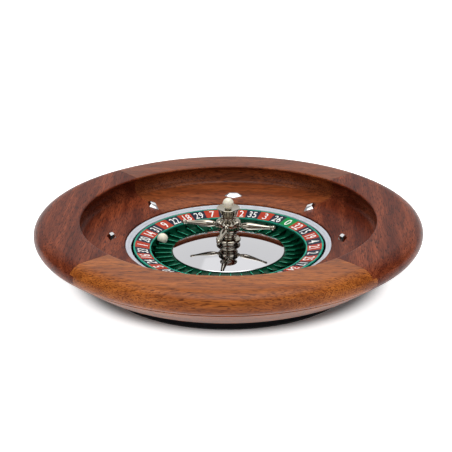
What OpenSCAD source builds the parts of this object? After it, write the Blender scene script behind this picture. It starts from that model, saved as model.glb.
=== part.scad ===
// Roulette wheel: a turned wooden bowl on a black plinth, with a wheelhead that spins on a fixed spindle.
// Origin: centre of the bottom face. +Z up, +X right, +Y to the back. Millimetres and degrees.

/* [Bowl] */
// Outer radius of the wooden rim
rim_r = 250; // [248:0.5:256]
// Radius of the rim's inner edge, over the ball track
rim_inner_r = 190.4; // [188:0.2:193]
// Height of the rim's top
rim_top_z = 81.5; // [80:0.5:84]
// Width of the rounded outer edge
bullnose_w = 20; // [16:1:24]
// Height of the rounded edge above its widest line
bullnose_up = 14.8; // [12:0.2:16]
// Height of the rounded edge below its widest line
bullnose_down = 15.6; // [14:0.2:17]
// Radius of the wood's bottom edge
wood_bottom_r = 205.6; // [200:0.2:212]
// Height of the wood's bottom face
wood_bottom_z = 26.8; // [25:0.2:28]
// Radius of the well that the wheelhead turns in
well_r = 127.5; // [127:0.1:129]
// Length of the tongue that each segment lets into the next
tongue_l = 7.5; // [5:0.5:10]
// Height of the tongue
tongue_h = 10; // [6:0.5:12]

/* [Plinth] */
// Radius of the black plinth
plinth_r = 169; // [160:1:180]
// Thickness of the non-slip pad
pad_t = 2; // [1.5:0.5:3]
// Height of the plinth's floor, inside the well
floor_z = 14; // [12:0.5:14]

/* [Deflectors] */
// Radius of the circle that the eight deflectors stand on
deflector_r = 155; // [152:1:157]
// Length of a deflector
deflector_l = 26; // [20:1:28]
// Width of a deflector
deflector_w = 12.5; // [10:0.5:14]
// Height of a deflector
deflector_h = 4.5; // [3:0.5:6]
// Size of a deflector's flat top, as a share of its base
deflector_top = 0.54; // [0.4:0.02:0.6]

/* [Wheelhead] */
// Number of pockets and number fields
pockets = 37; // [37:1:38]
// Direction of the zero field, from +X
zero_angle = 46.4; // [0:0.1:360]
// Outer radius of the wheelhead, over its border hoop
rotor_r = 123.7; // [123:0.1:125]
// Outer radius of the pockets
pocket_outer_r = 102.3; // [101:0.1:103]
// Radius of the mirrored cone
cone_r = 73.3; // [72:0.1:74]
// Height of the pocket floor
pocket_z = 27.2; // [27.2:0.1:27.6]
// Thickness of a fret between two pockets
fret_t = 0.9; // [0.8:0.1:1.2]
// Height of the cone's apex
cone_top_z = 42.4; // [42:0.1:42.8]
// Radius of curvature of the cone's domed face
cone_curve_r = 262; // [250:1:300]

/* [Turret] */
// Direction of the first arm, from +X
arm_angle = -8.9; // [-45:0.1:45]
// Distance of an arm's tip from the axis
arm_tip_r = 62; // [58:1:66]
// Height of the arms
arm_z = 66.6; // [65:0.2:67]
// Number of flutes round the bell
flutes = 18; // [14:1:20]
// Height of the seat that carries the spare ball
seat_z = 89.65; // [89.2:0.05:90]

/* [Balls] */
// Diameter of a ball
ball_d = 14.3; // [14:0.1:14.6]
// Distance of the ball in the pocket from the axis
ball_r = 93.4; // [91:0.2:93.6]
// Pocket that the ball lies in, counted from zero against the clock
ball_pocket = 12; // [0:1:36]

/* [Spindle and bearings] */
// Radius of the spindle in the bearings
spindle_r = 6; // [6:0.5:6]
// Outer radius of a bearing
bearing_r = 14; // [14:0.5:14]
// Width of a bearing
bearing_w = 8; // [8:0.5:8]
// Balls in each bearing
bearing_balls = 8; // [7:1:9]

/* [Hidden] */
$fn = 96;
// Gap left between pieces that sit against each other
seat_gap = 0.05;
rest_gap = 0.3;
overrun = 1;

// Bowl
rim_mid_z = rim_top_z - bullnose_up;
bullnose_r = rim_r - bullnose_w;
cove_r = 186.6 + (rim_inner_r - 190.4);
cove_z = rim_mid_z + 0.3;
cove_w = 10.4;
cove_h = 12.6;
apron_hi = [168, 51.9];
apron_lo = [141, 47];
apron_slope = atan2(apron_hi[1] - apron_lo[1], apron_hi[0] - apron_lo[0]);
ring_edge_r = 134.9;
ring_edge_z = 45.1;
ring_t = 2;
ring_hi = [ring_edge_r - 1, 43.4];
ring_lo = [well_r - 0.8, 40.5];
segment_turn = 90;
tongue_r = rim_r - 22;
tongue_z = rim_mid_z - tongue_h / 2;
bowl_screw_r = 2.5;
bowl_screw_l = 37;
bowl_screw_circle = 148;
bowl_screw_first = 22.5;
pin_r = 1;
pin_l = 9;
pin_offset_along = 6;
// The deflectors across the track stand over the joints between segments, so their pins straddle them
pin_offset_across = 4.3;
// How far each deflector, fitted by hand, is off its even place: outwards in mm, and round in degrees
deflector_offsets = [[-6.7, 1.2], [-1.3, 0.8], [-2, 0.4], [0.6, 0.5], [-2.2, 1.8], [-1.5, 1], [-1.5, 1], [-1.5, 1]];

// Spindle and bearings
flange_r = 30;
flange_t = 4.5;
flange_screw_r = 2;
flange_screw_l = 13;
flange_screw_circle = 22;
collar_r = 8;
bearing_low_z = 20;
bearing_gap = 3;
bearing_high_z = bearing_low_z + bearing_w + bearing_gap;
bearing_top_z = bearing_high_z + bearing_w;
race_pitch_r = (spindle_r + bearing_r) / 2;
race_wall = 2.2;
race_ball_r = 2.3;
race_groove_r = 2.35;
thread_r = 4;
washer_t = 1.2;
nut_h = 6.5;
nut_r = 7.5;
spindle_top_z = bearing_top_z + washer_t + nut_h + 1.1;

// Wheelhead
cell = 360 / pockets;
hub_r = 24;
hub_flange_r = 38;
hub_flange_t = 3.5;
hub_neck_r = 19;
hub_nose_r = 12.4;
hub_screw_r = 2;
hub_screw_circle = 31;
hub_screw_low_z = 22.4;
hub_screw_head_r = 3.6;
hub_screw_head_h = 2.4;
hub_bottom_z = 19.6;
hub_shoulder_z = 40.2;
hub_nose_z = 45;
nose_bore_r = 9.5;
disc_bottom_z = 20.4;
disc_top_z = 26;
field_in_r = 102.8;
field_out_r = 121.6;
field_in_z = 36.5;
field_rise = 0.22;
field_t = 0.4;
number_ring_t = 2;
hoop_in_r = 101;
hoop_t = 1.6;
cone_t = 1.4;
cone_bore_r = 12.6;
cone_edge_z = cone_top_z - pow(cone_r - 0.7, 2) / (2 * cone_curve_r);
pocket_in_r = 73;
pocket_in_z = 30.5;
pocket_floor = [[74.4, pocket_in_z], [77, pocket_z + 1.2], [86, pocket_z], [94, pocket_z],
                [97, pocket_z + 0.5], [99.2, pocket_z + 2.2]];
fret_top_z = 32.2;

// Turret
stud_r = 3;
stud_l = 35;
stud_z = 49.3;
foot_z = 42.2;
column_z = 50.6;
arm_hub_z = 58.2;
bell_z = 71.2;
cup_z = 76.8;
arm_hub_r = 13.9;
spigot_r = 2;
spigot_z = 7;
flute_r = 1.05;
flute_l = 9;
flute_lean = 58;

ball_angle = zero_angle + ball_pocket * cell;
ball_z = pocket_z + ball_d / 2 + rest_gap;
seat_r = 3.5;
spare_ball_z = seat_z + sqrt(pow(ball_d / 2, 2) - pow(seat_r, 2)) + rest_gap;

// Points along part of an ellipse, from angle t0 to t1 in n steps
function arc_points(r, z, a, b, t0, t1, n) =
    [for (i = [0:n]) let (t = t0 + (t1 - t0) * i / n) [r + a * cos(t), z + b * sin(t)]];

// Height of the sloping number ring at radius r
function field_z(r) = field_in_z + field_rise * (r - field_in_r);

// Height of the cone's domed face at radius r
function cone_z(r) = cone_top_z - r * r / (2 * cone_curve_r);

// Section of the wooden bowl: underside, taper, bullnose, flat rim, track cove, apron and ring seat
bowl_section = concat(
    [[well_r, wood_bottom_z], [wood_bottom_r - 0.8, wood_bottom_z], [wood_bottom_r, wood_bottom_z + 0.8],
     [rim_r - 10.6, rim_mid_z - 14.9], [rim_r - 10.2, rim_mid_z - 13.9]],
    arc_points(bullnose_r, rim_mid_z, bullnose_w, bullnose_down, -56, 0, 7),
    arc_points(bullnose_r, rim_mid_z, bullnose_w, bullnose_up, 10, 90, 8),
    [[rim_inner_r + 14, rim_top_z - 0.2], [rim_inner_r + 3, rim_top_z - 0.7],
     [rim_inner_r + 0.9, rim_top_z - 1.3], [rim_inner_r + 0.1, rim_top_z - 2.2]],
    arc_points(cove_r, cove_z, cove_w, cove_h, 66, -75, 12),
    [[184, 53.8], [178, 52.9], apron_hi, apron_lo, [ring_edge_r + 0.8, ring_edge_z],
     [ring_edge_r, ring_edge_z - 0.4], [ring_edge_r, ring_seat_z(ring_edge_r)],
     [well_r, ring_seat_z(well_r)]]);

// Height of the seat under the silver ring at radius r
function ring_seat_z(r) =
    ring_hi[1] - ring_t + (r - ring_hi[0]) * (ring_hi[1] - ring_lo[1]) / (ring_hi[0] - ring_lo[0]);

module at_ring(r, angle) {
    rotate([0, 0, angle]) translate([r, 0, 0]) children();
}

module tube_z(outer, inner, z0, z1) {
    translate([0, 0, z0]) difference() {
        cylinder(r = outer, h = z1 - z0);
        translate([0, 0, -overrun]) cylinder(r = inner, h = z1 - z0 + 2 * overrun);
    }
}

// Countersunk screw, its head's flat face at height 0 and its shank upwards; gap makes its hole
module countersunk(r, length, gap = 0) {
    cylinder(r1 = 2 * r + 3 * gap, r2 = r + gap, h = 1.2 * r + 3 * gap);
    cylinder(r = r + gap, h = length + 2 * gap);
}

// Bowl

module base_pad() {
    color([0.10, 0.10, 0.11]) cylinder(r = plinth_r - 0.4, h = pad_t);
}

module at_bowl_screws() {
    for (i = [0:7]) at_ring(bowl_screw_circle, bowl_screw_first + i * 45) children();
}

module at_flange_screws() {
    for (i = [0:3]) at_ring(flange_screw_circle, 45 + i * 90)
        translate([0, 0, floor_z + flange_t]) mirror([0, 0, 1]) children();
}

module plinth() {
    color([0.11, 0.11, 0.12]) difference() {
        rotate_extrude() polygon([[0, pad_t], [plinth_r - 1.2, pad_t], [plinth_r, pad_t + 1.2],
                                  [plinth_r, wood_bottom_z], [well_r + 0.5, wood_bottom_z],
                                  [well_r + 0.5, floor_z], [0, floor_z]]);
        at_bowl_screws() translate([0, 0, pad_t - 0.01]) countersunk(bowl_screw_r, bowl_screw_l, seat_gap);
        at_flange_screws() cylinder(r = flange_screw_r + seat_gap, h = flange_screw_l + rest_gap);
    }
}

module bowl_screws() {
    color([0.62, 0.62, 0.64])
        at_bowl_screws() translate([0, 0, pad_t + 2 * seat_gap]) countersunk(bowl_screw_r, bowl_screw_l);
}

module tongue_block() {
    translate([tongue_r, 0, tongue_z]) cube([rim_r - tongue_r + overrun, tongue_l, tongue_h]);
}

module tongue() {
    intersection() {
        rotate([0, 0, -6]) rotate_extrude(angle = 12) polygon(bowl_section);
        tongue_block();
    }
}

// Whether a deflector lies along the track, as every second one does
function lies_along(index) = index % 2 == 1;

// Moves its children onto the sloping apron, to the place of one of the eight deflectors
module on_apron(index) {
    offset = deflector_offsets[index - 1];
    r = deflector_r + offset[0];
    z = apron_lo[1] + (r - apron_lo[0]) * tan(apron_slope) + 0.12;
    rotate([0, 0, (index - 1) * 45 + offset[1]]) translate([r, 0, z]) rotate([0, -apron_slope, 0]) children();
}

module deflector_pins(index, r) {
    on_apron(index) for (s = [-1, 1])
        translate([0, s * (lies_along(index) ? pin_offset_along : pin_offset_across), -pin_l])
            cylinder(r = r, h = pin_l + 1);
}

module bowl_segment(start, tint) {
    color(tint) difference() {
        rotate([0, 0, start]) difference() {
            union() {
                rotate_extrude(angle = segment_turn) polygon(bowl_section);
                rotate([0, 0, segment_turn]) tongue();
            }
            tongue_block();
            for (a = [22.5, 67.5]) at_ring(bowl_screw_circle, a)
                cylinder(r = bowl_screw_r + seat_gap, h = pad_t + bowl_screw_l + rest_gap);
        }
        for (a = [0, 45, 90]) deflector_pins((start + a) / 45 % 8 + 1, pin_r + seat_gap);
    }
}

module apron_ring() {
    color([0.82, 0.82, 0.86]) rotate_extrude() polygon([
        ring_lo, [ring_lo[0], ring_lo[1] - ring_t + seat_gap],
        [ring_hi[0], ring_hi[1] - ring_t + seat_gap], ring_hi]);
}

// Deflectors: four-sided diamonds with a flat top, each the common space of two roofs and a slab, on two pins
module roof(half_w, h, turn) {
    rotate([0, 0, turn]) rotate([90, 0, 0]) linear_extrude(height = 3 * deflector_l, center = true)
        polygon([[-half_w, 0], [half_w, 0], [0, h]]);
}

module deflector(index) {
    half_l = deflector_l / 2;
    half_w = deflector_w / 2;
    face_turn = atan2(half_l, half_w);
    face_d = half_l * half_w / sqrt(half_l * half_l + half_w * half_w);
    peak = deflector_h / (1 - deflector_top);
    color([0.86, 0.87, 0.88]) union() {
        on_apron(index) rotate([0, 0, lies_along(index) ? 90 : 0]) intersection() {
            roof(face_d, peak, face_turn);
            roof(face_d, peak, -face_turn);
            translate([-half_l, -half_l, 0]) cube([deflector_l, deflector_l, deflector_h]);
        }
        deflector_pins(index, pin_r);
    }
}

// Spindle

module spindle_flange() {
    color([0.55, 0.56, 0.58]) difference() {
        tube_z(flange_r, collar_r + seat_gap, floor_z, floor_z + flange_t);
        at_flange_screws() translate([0, 0, -0.01]) countersunk(flange_screw_r, flange_screw_l, seat_gap);
    }
}

module flange_screws() {
    color([0.62, 0.62, 0.64])
        at_flange_screws() translate([0, 0, 2 * seat_gap]) countersunk(flange_screw_r, flange_screw_l);
}

module spindle() {
    color([0.70, 0.71, 0.73]) rotate_extrude() polygon([
        [0, floor_z], [collar_r, floor_z], [collar_r, bearing_low_z], [spindle_r, bearing_low_z],
        [spindle_r, bearing_top_z], [thread_r, bearing_top_z], [thread_r, spindle_top_z - 0.8],
        [thread_r - 0.8, spindle_top_z], [0, spindle_top_z]]);
}

module race_spacer() {
    color([0.66, 0.67, 0.69])
        tube_z(collar_r, spindle_r + seat_gap, bearing_low_z + bearing_w, bearing_high_z);
}

module spindle_washer() {
    color([0.66, 0.67, 0.69])
        tube_z(collar_r, thread_r + 2 * seat_gap, bearing_top_z, bearing_top_z + washer_t);
}

module spindle_nut() {
    color([0.62, 0.62, 0.64]) difference() {
        translate([0, 0, bearing_top_z + washer_t]) cylinder(r = nut_r, h = nut_h, $fn = 6);
        cylinder(r = thread_r + seat_gap, h = spindle_top_z + overrun);
    }
}

// Ball bearings: each race has a round groove, and the balls run in a cage between them
module race(z, inner, outer) {
    rotate_extrude() difference() {
        translate([inner, z]) square([outer - inner, bearing_w]);
        translate([race_pitch_r, z + bearing_w / 2]) circle(r = race_groove_r);
    }
}

module inner_race(z) {
    color([0.74, 0.75, 0.77]) race(z, spindle_r + 0.02, spindle_r + race_wall);
}

module outer_race(z) {
    color([0.74, 0.75, 0.77]) race(z, bearing_r - race_wall, bearing_r);
}

module ball_set(z, r) {
    for (i = [0:bearing_balls - 1])
        at_ring(race_pitch_r, i * 360 / bearing_balls) translate([0, 0, z + bearing_w / 2]) sphere(r = r);
}

module bearing_ball_set(z) {
    color([0.80, 0.81, 0.83]) ball_set(z, race_ball_r);
}

module bearing_cage(z) {
    color([0.72, 0.60, 0.35]) difference() {
        tube_z(race_pitch_r + 0.9, race_pitch_r - 0.9, z + bearing_w / 2 - 1.6, z + bearing_w / 2 + 1.6);
        ball_set(z, race_ball_r + 0.1);
    }
}

// Wheelhead

module at_hub_screws() {
    for (i = [0:3]) at_ring(hub_screw_circle, i * 90) translate([0, 0, hub_screw_low_z]) children();
}

module rotor_disc() {
    color([0.12, 0.12, 0.13]) difference() {
        rotate_extrude() polygon([
            [hub_r + 0.1, disc_bottom_z], [field_out_r - 0.6, disc_bottom_z],
            [field_out_r + 0.4, disc_bottom_z + 1],
            [field_out_r + 0.4, field_z(field_out_r) - number_ring_t - 0.1],
            [field_in_r - 0.2, field_z(field_in_r) - number_ring_t - 0.1],
            [pocket_outer_r + 0.1, field_z(field_in_r) - number_ring_t - 0.1],
            [pocket_outer_r + 0.1, disc_top_z], [hub_r + 0.1, disc_top_z]]);
        at_hub_screws() translate([0, 0, -rest_gap]) cylinder(r = hub_screw_r + seat_gap, h = 6);
    }
}

module hub() {
    color([0.78, 0.79, 0.80]) difference() {
        rotate_extrude() polygon([
            [bearing_r + 0.02, hub_bottom_z], [hub_r, hub_bottom_z], [hub_r, disc_top_z],
            [hub_flange_r, disc_top_z], [hub_flange_r, disc_top_z + hub_flange_t],
            [hub_neck_r, disc_top_z + hub_flange_t], [hub_neck_r, hub_shoulder_z],
            [hub_nose_r, hub_shoulder_z], [hub_nose_r, hub_nose_z], [nose_bore_r, hub_nose_z],
            [nose_bore_r, bearing_top_z], [bearing_r + 0.02, bearing_top_z],
            [bearing_r + 0.02, bearing_high_z], [bearing_r - 1.4, bearing_high_z],
            [bearing_r - 1.4, bearing_low_z + bearing_w],
            [bearing_r + 0.02, bearing_low_z + bearing_w]]);
        at_hub_screws() cylinder(r = hub_screw_r + seat_gap, h = 12);
    }
}

module hub_screws() {
    shank_l = disc_top_z + hub_flange_t - hub_screw_low_z;
    color([0.62, 0.62, 0.64]) at_hub_screws() union() {
        cylinder(r = hub_screw_r, h = shank_l + overrun);
        translate([0, 0, shank_l]) cylinder(r = hub_screw_head_r, h = hub_screw_head_h);
    }
}

module number_ring() {
    color([0.90, 0.90, 0.88]) rotate_extrude() polygon([
        [field_in_r, field_z(field_in_r) - number_ring_t],
        [field_out_r, field_z(field_out_r) - number_ring_t],
        [field_out_r, field_z(field_out_r) - field_t], [field_in_r, field_z(field_in_r) - field_t]]);
}

// One enamelled number field, the k-th with the clock from zero
module number_field(k) {
    rotate([0, 0, zero_angle - k * cell - cell / 2 + 0.05]) rotate_extrude(angle = cell - 0.1) polygon([
        [field_in_r, field_z(field_in_r) - field_t + 0.02],
        [field_out_r, field_z(field_out_r) - field_t + 0.02],
        [field_out_r, field_z(field_out_r)], [field_in_r, field_z(field_in_r)]]);
}

module red_fields() {
    color([0.88, 0.31, 0.24]) for (k = [1:2:pockets - 1]) number_field(k);
}

module black_fields() {
    color([0.12, 0.16, 0.22]) for (k = [2:2:pockets - 1]) number_field(k);
}

module zero_field() {
    color([0.07, 0.63, 0.31]) number_field(0);
}

module outer_hoop() {
    z = field_z(field_out_r);
    color([0.27, 0.71, 0.60]) rotate_extrude() polygon([
        [field_out_r + seat_gap, z - number_ring_t], [rotor_r, z - number_ring_t], [rotor_r, z + 0.4],
        [rotor_r - 0.4, z + 0.7], [field_out_r + seat_gap, z + 0.5]]);
}

module inner_hoop() {
    z = field_z(field_in_r);
    color([0.27, 0.71, 0.60]) rotate_extrude() polygon([
        [hoop_in_r, z - hoop_t], [field_in_r - seat_gap, z - hoop_t],
        [field_in_r - seat_gap, z + 0.3], [hoop_in_r + 0.5, z + 0.5], [hoop_in_r, z + 0.2]]);
}

module pocket_ring() {
    wall_top_z = field_z(field_in_r) - hoop_t - seat_gap;
    color([0.02, 0.25, 0.17]) rotate_extrude() polygon(concat(
        [[pocket_in_r, disc_top_z], [pocket_outer_r, disc_top_z], [pocket_outer_r, wall_top_z],
         [hoop_in_r + 0.1, wall_top_z]],
        [for (i = [len(pocket_floor) - 1:-1:0]) pocket_floor[i]],
        [[pocket_in_r, pocket_in_z]]));
}

module pocket_frets() {
    color([0.12, 0.54, 0.40]) for (i = [0:pockets - 1])
        rotate([0, 0, zero_angle + (i + 0.5) * cell]) rotate([90, 0, 0])
            linear_extrude(height = fret_t, center = true) polygon(concat(
                [for (p = pocket_floor) [p[0], p[1] + 2 * seat_gap]],
                [[99.8, fret_top_z + 0.2], [99, fret_top_z + 0.5], [75.2, fret_top_z]]));
}

module cone() {
    edge_r = cone_r - 0.7;
    steps = 14;
    radii = [for (i = [0:steps]) cone_bore_r + (edge_r - cone_bore_r) * i / steps];
    color([0.86, 0.86, 0.87]) rotate_extrude() polygon(concat(
        [for (r = radii) [r, cone_z(r)]],
        [[cone_r - 0.15, cone_edge_z - 0.3], [cone_r, cone_edge_z - 0.8], [cone_r - 0.3, cone_edge_z - 1.4]],
        [for (i = [steps:-1:0]) [radii[i], cone_z(radii[i]) - cone_t]]));
}

// Turret

module turned(points, bore) {
    rotate_extrude() polygon(concat([[bore, points[0][1]]], points, [[bore, points[len(points) - 1][1]]]));
}

module turret_foot() {
    color([0.80, 0.80, 0.79]) rotate_extrude() polygon([
        [hub_nose_r + 0.1, foot_z], [13.8, foot_z], [14.2, 43.6], [15.6, 44.6], [16.2, 46.2], [15.6, 47.8],
        [13.4, 48.9], [10.8, 49.6], [9.8, column_z], [stud_r + seat_gap, column_z], [stud_r + seat_gap, 49],
        [8.8, 48.7], [8.8, 45.3], [hub_nose_r + 0.1, 45.3]]);
}

module turret_column() {
    color([0.80, 0.80, 0.79]) turned([
        [9.4, column_z], [8.2, 51.6], [7.6, 53.2], [8.4, 54.7], [11, 55.4], [11.8, 56.4], [11.2, 57.6],
        [10, arm_hub_z]], stud_r + seat_gap);
}

module turret_stud() {
    color([0.62, 0.62, 0.64]) translate([0, 0, stud_z]) cylinder(r = stud_r, h = stud_l);
}

module arm_hub() {
    color([0.80, 0.80, 0.79]) difference() {
        turned([[12.2, arm_hub_z], [13.4, arm_hub_z + 0.8], [arm_hub_r, arm_hub_z + 2],
                [arm_hub_r, bell_z - 1.8], [13.4, bell_z - 0.6], [12.2, bell_z]], stud_r + seat_gap);
        for (i = [0:3]) rotate([0, 0, arm_angle + i * 90]) translate([spigot_z - seat_gap, 0, arm_z])
            rotate([0, 90, 0]) cylinder(r = spigot_r + seat_gap, h = arm_hub_r);
    }
}

// Turned arm: spigot, collar, neck, long swelling that tapers out, ring and knob
module turret_arm(index) {
    color([0.82, 0.82, 0.81]) rotate([0, 0, arm_angle + (index - 1) * 90]) translate([0, 0, arm_z])
        rotate([0, 90, 0]) rotate_extrude() polygon(concat(
            [[0, spigot_z], [spigot_r, spigot_z], [spigot_r, arm_hub_r + 0.1],
             [3.8, arm_hub_r + 0.1], [4.4, 15.1],
             [3.8, 16.2], [2.7, 17.2], [2.8, 18.2], [3.5, 20.5], [4.3, 24], [4.6, 27.5], [4.4, 31.5],
             [3.7, 37.5], [2.9, 44], [2.3, 50], [2, arm_tip_r - 7.4], [2.7, arm_tip_r - 6.8],
             [2.7, arm_tip_r - 6.2], [1.9, arm_tip_r - 5.6]],
            arc_points(0, arm_tip_r - 2.9, 2.9, 2.9, -48, 90, 7)));
}

module turret_bell() {
    color([0.80, 0.80, 0.79]) difference() {
        turned([[12, bell_z], [15.3, bell_z + 0.3], [15.4, bell_z + 0.9], [14.2, bell_z + 1.7],
                [11.6, bell_z + 2.7], [9.4, bell_z + 4], [8.3, bell_z + 5.2], [8, cup_z]], stud_r + seat_gap);
        for (i = [0:flutes - 1]) rotate([0, 0, i * 360 / flutes]) translate([16.6, 0, bell_z + 1.2])
            rotate([0, -flute_lean, 0]) cylinder(r = flute_r, h = flute_l);
    }
}

module turret_cup() {
    color([0.82, 0.82, 0.81]) rotate_extrude() polygon([
        [stud_r + seat_gap, cup_z], [7.6, cup_z], [7.5, 78], [8, 79.6], [8.9, 81.2], [10, 82.8],
        [11.2, 84.6], [12.4, 86.4], [13.6, 88.3], [14.9, 90], [14.8, 90.5], [14.2, 90.5], [11.5, 89.2],
        [8, 88.5], [5.2, 88.5],
        [4.2, seat_z - 0.2], [seat_r, seat_z], [2.8, seat_z - 1], [0, seat_z - 1.6], [0, 84.6],
        [stud_r + seat_gap, 84.6]]);
}

// Loose balls

module ball() {
    color([0.93, 0.90, 0.82]) at_ring(ball_r, ball_angle) translate([0, 0, ball_z]) sphere(d = ball_d);
}

module spare_ball() {
    color([0.93, 0.90, 0.82]) translate([0, 0, spare_ball_z]) sphere(d = ball_d);
}

base_pad();
plinth();
bowl_screws();
bowl_segment(225, [0.64, 0.40, 0.25]);  // bowl_segment_front
bowl_segment(315, [0.45, 0.25, 0.18]);  // bowl_segment_right
bowl_segment(45, [0.60, 0.37, 0.23]);  // bowl_segment_back
bowl_segment(135, [0.45, 0.25, 0.18]);  // bowl_segment_left
apron_ring();
deflector(1);  // deflector_1
deflector(2);  // deflector_2
deflector(3);  // deflector_3
deflector(4);  // deflector_4
deflector(5);  // deflector_5
deflector(6);  // deflector_6
deflector(7);  // deflector_7
deflector(8);  // deflector_8
spindle_flange();
flange_screws();
spindle();
race_spacer();
spindle_washer();
spindle_nut();
inner_race(bearing_low_z);  // lower_inner_race
inner_race(bearing_high_z);  // upper_inner_race
bearing_ball_set(bearing_low_z);  // lower_bearing_balls
bearing_ball_set(bearing_high_z);  // upper_bearing_balls
bearing_cage(bearing_low_z);  // lower_bearing_cage
bearing_cage(bearing_high_z);  // upper_bearing_cage
outer_race(bearing_low_z);  // lower_outer_race
outer_race(bearing_high_z);  // upper_outer_race
rotor_disc();
hub();
hub_screws();
number_ring();
red_fields();
black_fields();
zero_field();
outer_hoop();
inner_hoop();
pocket_ring();
pocket_frets();
cone();
turret_foot();
turret_column();
turret_stud();
arm_hub();
turret_arm(1);  // turret_arm_1
turret_arm(2);  // turret_arm_2
turret_arm(3);  // turret_arm_3
turret_arm(4);  // turret_arm_4
turret_bell();
turret_cup();
ball();
spare_ball();
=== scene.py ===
"""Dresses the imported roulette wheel: turned mahogany bowl, enamelled wheelhead, polished cone and turret.

Sizes are in millimetres in the classes and become metres when a mesh is made. Angles are in degrees, counted
from +X. The wheel stands on the floor at the origin, with +Z up and +Y to the back.
"""

import logging
import math
from dataclasses import dataclass, field
from enum import Enum
from functools import reduce
from itertools import product
from typing import Callable, Iterable, Sequence

import bmesh
import bpy
from mathutils import Matrix, Vector


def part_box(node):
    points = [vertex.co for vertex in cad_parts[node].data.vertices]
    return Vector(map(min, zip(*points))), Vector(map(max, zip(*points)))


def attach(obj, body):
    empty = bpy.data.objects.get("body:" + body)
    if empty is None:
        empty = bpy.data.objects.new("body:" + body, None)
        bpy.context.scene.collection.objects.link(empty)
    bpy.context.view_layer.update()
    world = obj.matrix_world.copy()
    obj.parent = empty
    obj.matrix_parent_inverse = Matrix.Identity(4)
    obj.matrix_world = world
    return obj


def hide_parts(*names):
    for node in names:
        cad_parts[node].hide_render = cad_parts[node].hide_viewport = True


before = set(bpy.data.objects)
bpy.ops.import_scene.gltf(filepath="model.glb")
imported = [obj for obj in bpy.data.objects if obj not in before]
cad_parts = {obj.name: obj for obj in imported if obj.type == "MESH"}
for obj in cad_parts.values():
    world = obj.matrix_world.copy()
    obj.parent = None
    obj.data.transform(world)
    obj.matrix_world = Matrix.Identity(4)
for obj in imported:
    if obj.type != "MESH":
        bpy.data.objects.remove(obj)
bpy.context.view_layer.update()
LOG = logging.getLogger("roulette_wheel")
MM = 0.001
MERGE = 2e-6
SHARP = 32.0
FULL_TURN = 360.0

Point = tuple[float, float]
Triple = tuple[float, float, float]
Profile = tuple[Point, ...]
Colour = tuple[float, float, float, float]
Tree = bpy.types.NodeTree
Node = bpy.types.Node
Socket = bpy.types.NodeSocket
Piece = bpy.types.Object


class Body(Enum):
    """The rigid bodies that pieces ride on."""

    BOWL = "bowl"
    ROTOR = "rotor"
    CAGES = "bearing_cages"
    BALL = "ball"
    SPARE_BALL = "spare_ball"


class Grain(Enum):
    """Direction of the wood's grain, as its turn from +X in degrees."""

    ALONG_X = 0.0
    ALONG_Y = 90.0


# Small helpers


def linear(code: str) -> Colour:
    """Turns an sRGB hex colour to linear.

    Args:
        code: Six hex digits, with or without a leading hash.

    Returns:
        Linear red, green and blue, and an alpha of 1.
    """
    parts = [int(code.lstrip("#")[i:i + 2], 16) / 255 for i in (0, 2, 4)]
    red, green, blue = [c / 12.92 if c <= 0.04045 else ((c + 0.055) / 1.055) ** 2.4 for c in parts]
    return red, green, blue, 1.0


def per_mm(size: float) -> float:
    """Returns the scale at which a pattern on metre coordinates has features of size millimetres."""
    return 1 / (size * MM)


def add_node(tree: Tree, kind: str, inputs: dict | None = None, **settings: object) -> Node:
    """Adds one node, sets its properties, and fills or links its inputs.

    Args:
        tree: The node tree to add to.
        kind: Blender's name of the node type.
        inputs: Values or output sockets, by the input's name or number.
        **settings: Properties of the node itself.

    Returns:
        The new node.
    """
    node = tree.nodes.new(kind)
    for name, value in settings.items():
        setattr(node, name, value)
    for key, value in (inputs or {}).items():
        if isinstance(value, Socket):
            tree.links.new(value, node.inputs[key])
        else:
            node.inputs[key].default_value = value
    return node


def sums(tree: Tree) -> Callable[..., Socket]:
    """Returns a function that adds one sum to a tree, from its operation and its sockets or numbers."""

    def calc(operation: str, *values: object) -> Socket:
        """Adds one sum and returns its result."""
        return add_node(tree, "ShaderNodeMath", dict(enumerate(values)), operation=operation).outputs[0]

    return calc


# Outlines, as lists of (radius, height)


def arc(centre: Point, radii: Point, start: float, end: float, steps: int) -> list[Point]:
    """Points along part of an ellipse.

    Args:
        centre: Centre of the ellipse.
        radii: Its half width and half height.
        start: First angle in degrees.
        end: Last angle in degrees.
        steps: Number of stretches.

    Returns:
        The points, ends included.
    """
    angles = [math.radians(start + (end - start) * i / steps) for i in range(steps + 1)]
    return [(centre[0] + radii[0] * math.cos(a), centre[1] + radii[1] * math.sin(a)) for a in angles]


def rounded(corners: Sequence[Triple], steps: int = 4) -> list[Point]:
    """Outline whose corners are rounded.

    Args:
        corners: Radius, height and rounding of each corner. A rounding of 0 keeps the corner sharp.
        steps: Stretches in each rounding.

    Returns:
        The points of the closed outline.
    """
    points: list[Point] = []
    count = len(corners)
    for i, (x, y, rounding) in enumerate(corners):
        here = Vector((x, y))
        before = (Vector(corners[i - 1][:2]) - here).normalized()
        after = (Vector(corners[(i + 1) % count][:2]) - here).normalized()
        half = before.angle(after) / 2
        if rounding <= 0 or half > math.radians(89):
            points.append((x, y))
            continue
        reach = rounding / math.tan(half)
        start, end = here + before * reach, here + after * reach
        for step in range(steps + 1):
            t = step / steps
            bend = (1 - t) ** 2 * start + 2 * t * (1 - t) * here + t ** 2 * end
            points.append((bend.x, bend.y))
    return points


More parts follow.
